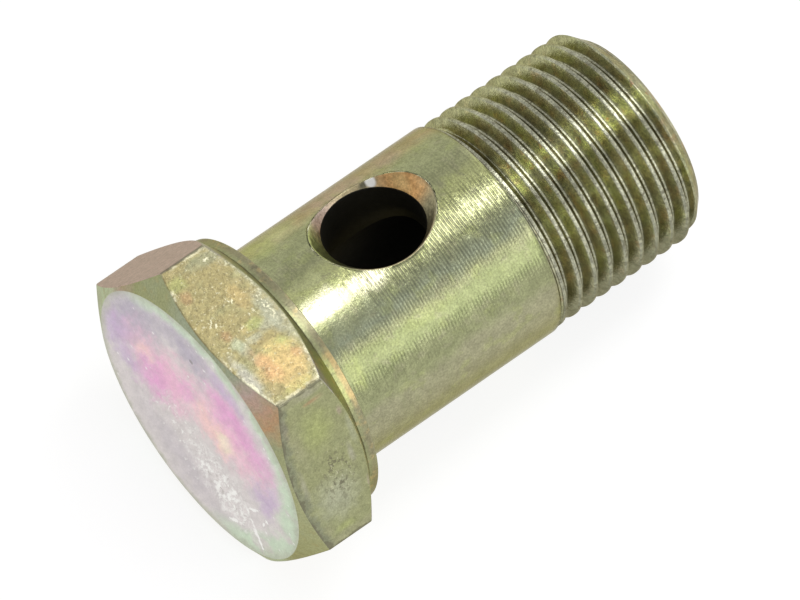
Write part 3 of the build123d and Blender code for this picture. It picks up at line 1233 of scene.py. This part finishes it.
def neck_finish(tones):
    """The turned neck: fine feed marks round it, bands of plating colour along it, and bands of
    painted light and shade round it.
    """
    f = Finish("neck")
    groove = f.turned(FEED, 0.0)
    broken = f.rise(f.noise(3.0, detail=4, stretch=(1.0, 0.5, 0.5)), 0.2, 0.6)
    # The marks are cut deeper where the highlights fall, on top but for the part beside the head,
    # and less so lower down; their grooves are painted darker there, as painted shade.
    ahead = f.rise(f.frayed(f.along, 4.0), 11.5, 16.5)
    lit_marks = f.either(
        f.both(f.sector(164, 180, 202, 214), ahead), f.both(f.sector(224, 229, 237, 243), 0.6)
    )
    cut = f.both(groove, broken, f.spread(lit_marks, 0.2, 1.0))
    # Painted light and shade in bands round the neck: tan dims the top edge, lime and sage lighten
    # the band by the strip's highlight, fern darkens the band past it, and drab the low side
    colour = f.round_ramp(
        0.04,
        (20, tones.olive),
        (108, tones.tan),
        (134, tones.tan),
        (144, tones.reed),
        (158, tones.reed),
        (168, tones.olive),
        (173, tones.lime),
        (181, tones.lime),
        (186, tones.sage),
        (189, tones.sage),
        (195, tones.reed),
        (207, tones.grey_green),
        (213, tones.olive),
        (218, tones.fern),
        (227, tones.fern),
        (232, tones.reed),
        (240, tones.reed),
        (246, tones.drab),
        (264, tones.drab),
        (280, tones.olive),
        (380, tones.olive),
    )
    colour = f.stains(
        colour,
        f.place,
        1.0,
        # The cream patches at 187 and 189 degrees are painted highlights on the strip's streak, the
        # sage patch at 173 degrees painted light beside it, and the fern and shade patches at 225
        # degrees painted shade in the band past it
        (on_neck(9.4, 187), (2.4, 2.4, 1.3), 0.65, tones.cream),
        (on_neck(13.0, 189), (2.0, 2.4, 1.2), 0.5, tones.cream),
        (on_neck(10.2, 219), (2.4, 2.0, 0.9), 0.3, tones.moss),
        (on_neck(10.4, 225), (3.2, 1.6, 3.2), 0.6, tones.fern),
        (on_neck(10.4, 225), (3.2, 1.6, 3.2), 0.12, tones.shade_and_pit_dark),
        (on_neck(15.0, 218), (3.0, 2.0, 0.7), 0.3, tones.moss),
        (on_neck(10.6, 128), (3.2, 2.4, 2.6), 0.8, tones.sage),
        (on_neck(9.6, 173), (1.8, 2.4, 0.9), 0.6, tones.sage),
        (on_neck(16.0, 128), (3.4, 2.0, 2.6), 0.6, tones.rose),
        (on_neck(20.5, 130), (1.6, 2.0, 2.0), 0.4, tones.rose),
        (on_neck(9.3, 136), (1.6, 2.0, 2.0), 0.5, tones.moss),
        (on_neck(8.6, 222), (0.8, 2.0, 2.0), 0.5, tones.moss),
        (on_neck(9.6, 162), (1.8, 2.4, 1.6), 0.4, tones.reed),
        (on_neck(22.5, 150), (1.6, 2.4, 1.8), 0.5, tones.reed),
    )
    mottled = f.noise(1.1, detail=5, shift=12, rough=0.66)
    rings = f.noise(0.8, detail=3, stretch=(1.0, 0.2, 0.2))
    colour = f.layers(
        colour,
        (f.both(f.rise(rings, 0.48, 0.66), 0.3), tones.reed),
        (f.both(f.rise(mottled, 0.52, 0.66), 0.45), tones.drab),
        (f.both(f.clouds(0.7, 0.54, 0.68, detail=4, shift=3), 0.3), tones.moss),
        # Painted shade in the feed grooves where the highlights fall
        (f.both(cut, lit_marks, 0.35), tones.dark),
    )
    colour = f.grained(colour, 0.17)
    colour = f.shade(colour, f.clouds(1.0, 0.36, 0.64, detail=5, shift=25, rough=0.7), 0.9, 1.1)
    # A painted highlight round each mouth of the hole, from the distance out of its countersink's
    # cone.
    height = f.math("ABSOLUTE", f.towards(HOLE_TURN))
    away = f.sheet(f.math("SUBTRACT", f.along, HOLE_PLACE), f.towards(HOLE_TURN + 90))
    beyond = f.math("MULTIPLY_ADD", height, -SINK_SLOPE, f.span("LENGTH", away))
    beyond = f.math("SUBTRACT", beyond, SINK_REACH)
    lip = f.rise(f.frayed(beyond, 0.5), 0.42, 0.30)
    lip = f.both(lip, f.clouds(0.6, 0.46, 0.54, shift=21), 0.75)
    colour = f.layers(colour, (lip, tones.cream))
    f.relief(f.both(cut, -0.034), f.both(f.noise(4.0, detail=5, rough=0.7), 0.018))
    return f.metal(colour, f.spread(mottled, 0.12, 0.26))


def sink_finish(tones):
    """The countersinks: copper where the tool's edge ran hot, green and brown elsewhere."""
    f = Finish("countersink")
    colour = f.stains(
        tones.tan,
        f.place,
        1.0,
        (spot_on(14.5, 8.4, 146), (2.4, 4.0, 2.0), 0.8, tones.rose),
        (spot_on(11.9, 8.4, 162), (1.8, 5.0, 5.0), 0.95, tones.moss),
        (spot_on(12.4, 8.4, 178), (1.5, 2.0, 2.0), 0.7, tones.shade_and_pit_dark),
        (spot_on(19.8, 8.4, 156), (2.0, 4.0, 3.2), 1.0, tones.copper),
        (spot_on(19.6, 8.4, 176), (2.2, 2.6, 1.8), 0.9, tones.bronze),
        (spot_on(19.7, 8.2, 154), (0.8, 1.4, 1.4), 0.6, tones.peach),
        (spot_on(17.9, 8.2, 140.5), (0.45, 0.6, 0.4), 1.0, tones.shade_and_pit_dark),
        ragged=0.6,
        soft=0.7,
    )
    colour = f.grained(colour, 0.2)
    colour = f.shade(colour, f.clouds(2.4, 0.35, 0.65, detail=5, rough=0.7), 0.8, 1.2)
    glint = f.patch(f.place, spot_on(18.4, 8.3, 142.5), (0.45, 0.7, 0.55), 0.5, 0.4)
    colour = f.layers(colour, (glint, tones.white))
    f.relief(f.both(f.noise(3.5, detail=4), 0.03))
    return f.metal(colour, 0.32)


def bore_finish(tones):
    """The cross hole and the axial bore: drilled metal painted near black, as painted shade inside
    them.
    """
    f = Finish("bore")
    rings = f.noise(2.0, detail=3)
    colour = f.shade(tones.dark, rings, 0.8, 1.3)
    f.relief(f.both(rings, 0.03))
    return f.metal(colour, 0.62)


def thread_finish(tones):
    """The rolled thread: painted darker on its flanks as shade in its grooves, and lighter on its
    crests and in its roots.
    """
    f = Finish("thread")
    depth = f.between(f.radius, ROOT_OUT, CREST_OUT)
    flank = f.both(f.rise(depth, 0.08, 0.16), f.rise(depth, 0.97, 0.9))
    # Painted shade: the flanks darker than the crests and roots, as the grooves are shaded
    colour = f.ramp(
        depth,
        (0.00, tones.pewter),
        (0.08, tones.pewter),
        (0.16, tones.bronze),
        (0.85, tones.drab),
        (0.94, tones.pewter),
        (1.00, tones.pewter),
    )
    tint = f.noise(0.7, detail=4, stretch=(1.0, 0.4, 0.4))
    lit = f.sector(176, 183, 194, 200)
    colour = f.layers(
        colour,
        (f.both(f.rise(tint, 0.46, 0.66), flank, 0.4), tones.moss),
        (f.both(f.clouds(1.0, 0.52, 0.66, detail=4, shift=5), flank, 0.3), tones.rust),
        (f.both(f.clouds(0.8, 0.50, 0.62, detail=4, shift=9), flank, 0.4), tones.grey_green),
        (f.both(lit, f.clouds(0.8, 0.42, 0.56, detail=4, shift=3), flank, 0.85), tones.lemon),
        (f.both(lit, 0.4), tones.silver),
        (f.both(f.clouds(1.4, 0.58, 0.66, detail=4, shift=15), lit, flank, 0.6), tones.rust),
        # Painted light and shade round the thread: lighter olive on its top side, darker slate on
        # its low side
        (f.both(f.sector(146, 132), 0.7), tones.olive),
        (f.both(f.sector(250, 285), 0.9), tones.slate),
    )
    colour = f.grained(colour, 0.3)
    colour = f.shade(colour, f.clouds(1.0, 0.34, 0.66, detail=5, shift=17, rough=0.7), 0.85, 1.3)
    chipped = f.clouds(2.4, 0.52, 0.62, detail=5, shift=8, rough=0.7)
    colour = f.layers(colour, (f.both(chipped, f.spread(flank, 0.7, 0.3)), tones.shade_and_pit_dark))
    grain = f.noise(4.0, detail=5, rough=0.72)
    f.relief(f.both(grain, 0.03))
    return f.metal(colour, f.spread(grain, 0.12, 0.28))


def end_finish(tones):
    """The end of the thread: its chamfer, its face and the bore's mouth."""
    f = Finish("end")
    f.turned(FACING_FEED)
    lit = f.patch(f.place, spot_on(37.4, 7.8, 206), (3.0, 3.0, 4.2), 0.9, 0.8)
    colour = f.layers(
        tones.pewter,
        (f.both(f.clouds(0.8, 0.42, 0.6, detail=4), 0.5), tones.bronze),
        (f.both(lit, 0.4), tones.cream),
        (f.rise(f.radius, 5.6, 5.2), tones.khaki),
        (f.both(f.clouds(1.2, 0.5, 0.64, detail=4, shift=4), 0.4), tones.rust),
    )
    colour = f.grained(colour, 0.16)
    f.relief(f.both(f.noise(4.0, detail=4), 0.02))
    return f.metal(colour, 0.34)


FINISHES = (
    face_finish,
    chamfer_finish,
    flats_finish,
    washer_finish,
    neck_finish,
    sink_finish,
    bore_finish,
    thread_finish,
    end_finish,
)


class BOLT_OT_make(bpy.types.Operator):
    """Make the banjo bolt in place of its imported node"""

    bl_idname = "banjo_bolt.make_bolt"
    bl_label = "Make Bolt"

    def execute(self, context):
        scene = context.scene
        skin = bolt_skin(scene.bolt_head, scene.bolt_shaft, scene.bolt_thread)
        materials = [finish(scene.bolt_zinc) for finish in FINISHES]
        mesh = skin.sewn("bolt", materials)
        map_turned(mesh)
        bolt = bpy.data.objects.new("bolt", mesh)
        scene.collection.objects.link(bolt)
        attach(bolt, "root")
        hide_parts(NODE)
        return {"FINISHED"}


class StageSettings(bpy.types.PropertyGroup):
    view_distance: length("Camera distance", "From the camera to the outer face", 1.0)
    lens: FloatProperty(name="Lens", description="Focal length in millimetres", default=667.8)
    axis_tilt: angle("Axis to view", "Between the bolt's axis and the line of sight", 70.798)
    axis_slant: angle("Slant", "Of the bolt in the picture, up to the right", 34.462)
    roll: angle("Roll", "Of the flat underneath about the bolt's axis", 69.077)
    face_left: length("Face left", "Outer face, left of the picture's middle", 13.508 * MM)
    face_down: length("Face down", "Outer face, below the picture's middle", 8.449 * MM)
    floor_tone: colour("Floor", "The paper the bolt lies on", (0.30, 0.30, 0.30))
    ceiling_tone: colour("Ceiling", "What the metal shows from overhead", (0.58, 0.58, 0.58))
    halo_tone: colour("Halo", "What the metal shows round the strip", (0.85, 0.85, 0.85))
    ambient: FloatProperty(name="Ambient", description="Light from all round", default=0.7)
    strip: FloatProperty(name="Strip", description="Radiance of the strip overhead", default=4.2)
    window: FloatProperty(name="Window", description="Radiance of the side light", default=1.2)


# The two lamps: which way each lies from the bolt, how far it is and its two sides, in metres.
STRIP_SIDE, STRIP_AWAY, STRIP_SIZE = (0.41, 0.04, 0.91), 0.45, (0.13, 0.30)
WINDOW_SIDE, WINDOW_AWAY, WINDOW_SIZE = (0.37, -0.81, 0.46), 0.60, (0.80, 0.26)
PAPER_GLOW = 0.82  # of the floor as it is seen, so that it comes out white
FLOOR_HALF = 3.0  # of its width, in metres
SENSOR = 36  # the camera's, in millimetres
CLIP_START, CLIP_END = 0.05, 20  # of its view, in metres


def camera_turn(stage):
    """The rotation from the camera's right, up and back to the frame.

    The bolt's axis in the picture follows from its slant and its angle to the line of sight, and
    the flat underneath from the roll about that axis.
    """
    slant, tilt = stage.axis_slant, stage.axis_tilt
    axis = np.array([np.sin(tilt) * np.cos(slant), np.sin(tilt) * np.sin(slant), -np.cos(tilt)])
    level = np.array([np.sin(slant), -np.cos(slant), 0.0])
    away = np.cross(axis, level)
    flat = np.cos(stage.roll) * level + np.sin(stage.roll) * away
    side = np.cross(axis, flat)
    seen = np.stack([axis, flat, side])
    real = np.stack([ALONG, DOWN, ACROSS])
    return real.T @ seen


def make_floor(stage):
    """A plane of pale paper, which looks white away from shadows."""
    half = FLOOR_HALF
    mesh = bpy.data.meshes.new("floor")
    corners = [(-half, -half, 0), (half, -half, 0), (half, half, 0), (-half, half, 0)]
    mesh.from_pydata(corners, [], [(0, 1, 2, 3)])
    material = bpy.data.materials.new("paper")
    material.use_nodes = True
    nodes = Nodes(material.node_tree)
    shader = nodes.tree.nodes["Principled BSDF"].inputs
    nodes.join(shader["Base Color"], stage.floor_tone)
    nodes.join(shader["Roughness"], 0.9)
    nodes.join(shader["Specular IOR Level"], 0.0)
    nodes.join(shader["Emission Color"], (1, 1, 1))
    glow = nodes.math("MULTIPLY", nodes.seen_directly(), PAPER_GLOW)
    nodes.join(shader["Emission Strength"], glow)
    mesh.materials.append(material)
    floor = bpy.data.objects.new("floor", mesh)
    return floor


def make_world(stage):
    """Light from all round.

    The metal shows it white near the floor, grey overhead, and paler round the strip.
    """
    world = bpy.data.worlds.new("studio")
    world.use_nodes = True
    nodes = Nodes(world.node_tree)
    direction = nodes.node("TexCoord").outputs["Generated"]
    height = nodes.node("SeparateXYZ", direction).outputs["Z"]
    sky = nodes.mix(nodes.rise(height, 0.25, 0.65), (1, 1, 1), stage.ceiling_tone)
    to_strip = nodes.span("DOT_PRODUCT", direction, Vector(STRIP_SIDE).normalized())
    colour = nodes.mix(nodes.rise(to_strip, 0.62, 0.98), sky, stage.halo_tone)
    background = nodes.tree.nodes["Background"].inputs
    nodes.join(background["Color"], colour)
    nodes.join(background["Strength"], nodes.spread(nodes.seen_directly(), stage.ambient, 1.0))
    return world


def make_lamp(name, direction, distance, size, radiance):
    """A soft rectangular lamp that faces the bolt, its first side level."""
    lamp = bpy.data.lights.new(name, "AREA")
    lamp.shape = "RECTANGLE"
    lamp.size, lamp.size_y = size
    lamp.energy = radiance * np.pi * size[0] * size[1]
    made = bpy.data.objects.new(name, lamp)
    back = Vector(direction).normalized()
    made.matrix_world = back.to_track_quat("Z", "Y").to_matrix().to_4x4()
    made.location = back * distance
    return made


class BOLT_OT_stage(bpy.types.Operator):
    """Make the floor, the light and the camera"""

    bl_idname = "banjo_bolt.make_stage"
    bl_label = "Make Stage"

    def execute(self, context):
        scene = context.scene
        stage = scene.bolt_stage
        scene.world = make_world(stage)
        camera = bpy.data.objects.new("camera", bpy.data.cameras.new("camera"))
        camera.data.lens = stage.lens
        camera.data.sensor_width = SENSOR
        camera.data.clip_start = CLIP_START
        camera.data.clip_end = CLIP_END
        rotation = camera_turn(stage)
        face = np.array([-stage.face_left, -stage.face_down, -stage.view_distance])
        matrix = Matrix(rotation.tolist()).to_4x4()
        matrix.translation = Vector(ORIGIN - rotation @ face)
        camera.matrix_world = matrix
        lamps = [
            make_lamp("strip", STRIP_SIDE, STRIP_AWAY, STRIP_SIZE, stage.strip),
            make_lamp("window", WINDOW_SIDE, WINDOW_AWAY, WINDOW_SIZE, stage.window),
        ]
        for made in (make_floor(stage), camera, *lamps):
            scene.collection.objects.link(made)
        scene.camera = camera
        scene.view_settings.view_transform = "Standard"
        return {"FINISHED"}


class BOLT_PT_panel(bpy.types.Panel):
    bl_idname = "BOLT_PT_panel"
    bl_label = "Banjo Bolt"
    bl_space_type = "VIEW_3D"
    bl_region_type = "UI"
    bl_category = "Banjo Bolt"

    def draw(self, context):
        for group in GROUPS:
            box = self.layout.box()
            settings = getattr(context.scene, group)
            for name in settings.__annotations__:
                box.prop(settings, name)
        self.layout.operator(BOLT_OT_make.bl_idname)
        self.layout.operator(BOLT_OT_stage.bl_idname)


GROUPS = {
    "bolt_head": HeadSizes,
    "bolt_shaft": ShaftSizes,
    "bolt_thread": ThreadSizes,
    "bolt_zinc": ZincTones,
    "bolt_stage": StageSettings,
}
CLASSES = (*GROUPS.values(), BOLT_OT_make, BOLT_OT_stage, BOLT_PT_panel)


def register():
    for cls in CLASSES:
        bpy.utils.register_class(cls)
    for name, group in GROUPS.items():
        setattr(bpy.types.Scene, name, PointerProperty(type=group))


def unregister():
    for name in GROUPS:
        delattr(bpy.types.Scene, name)
    for cls in reversed(CLASSES):
        bpy.utils.unregister_class(cls)


def main():
    register()
    bpy.ops.banjo_bolt.make_bolt()
    bpy.ops.banjo_bolt.make_stage()


if __name__ == "__main__":
    main()
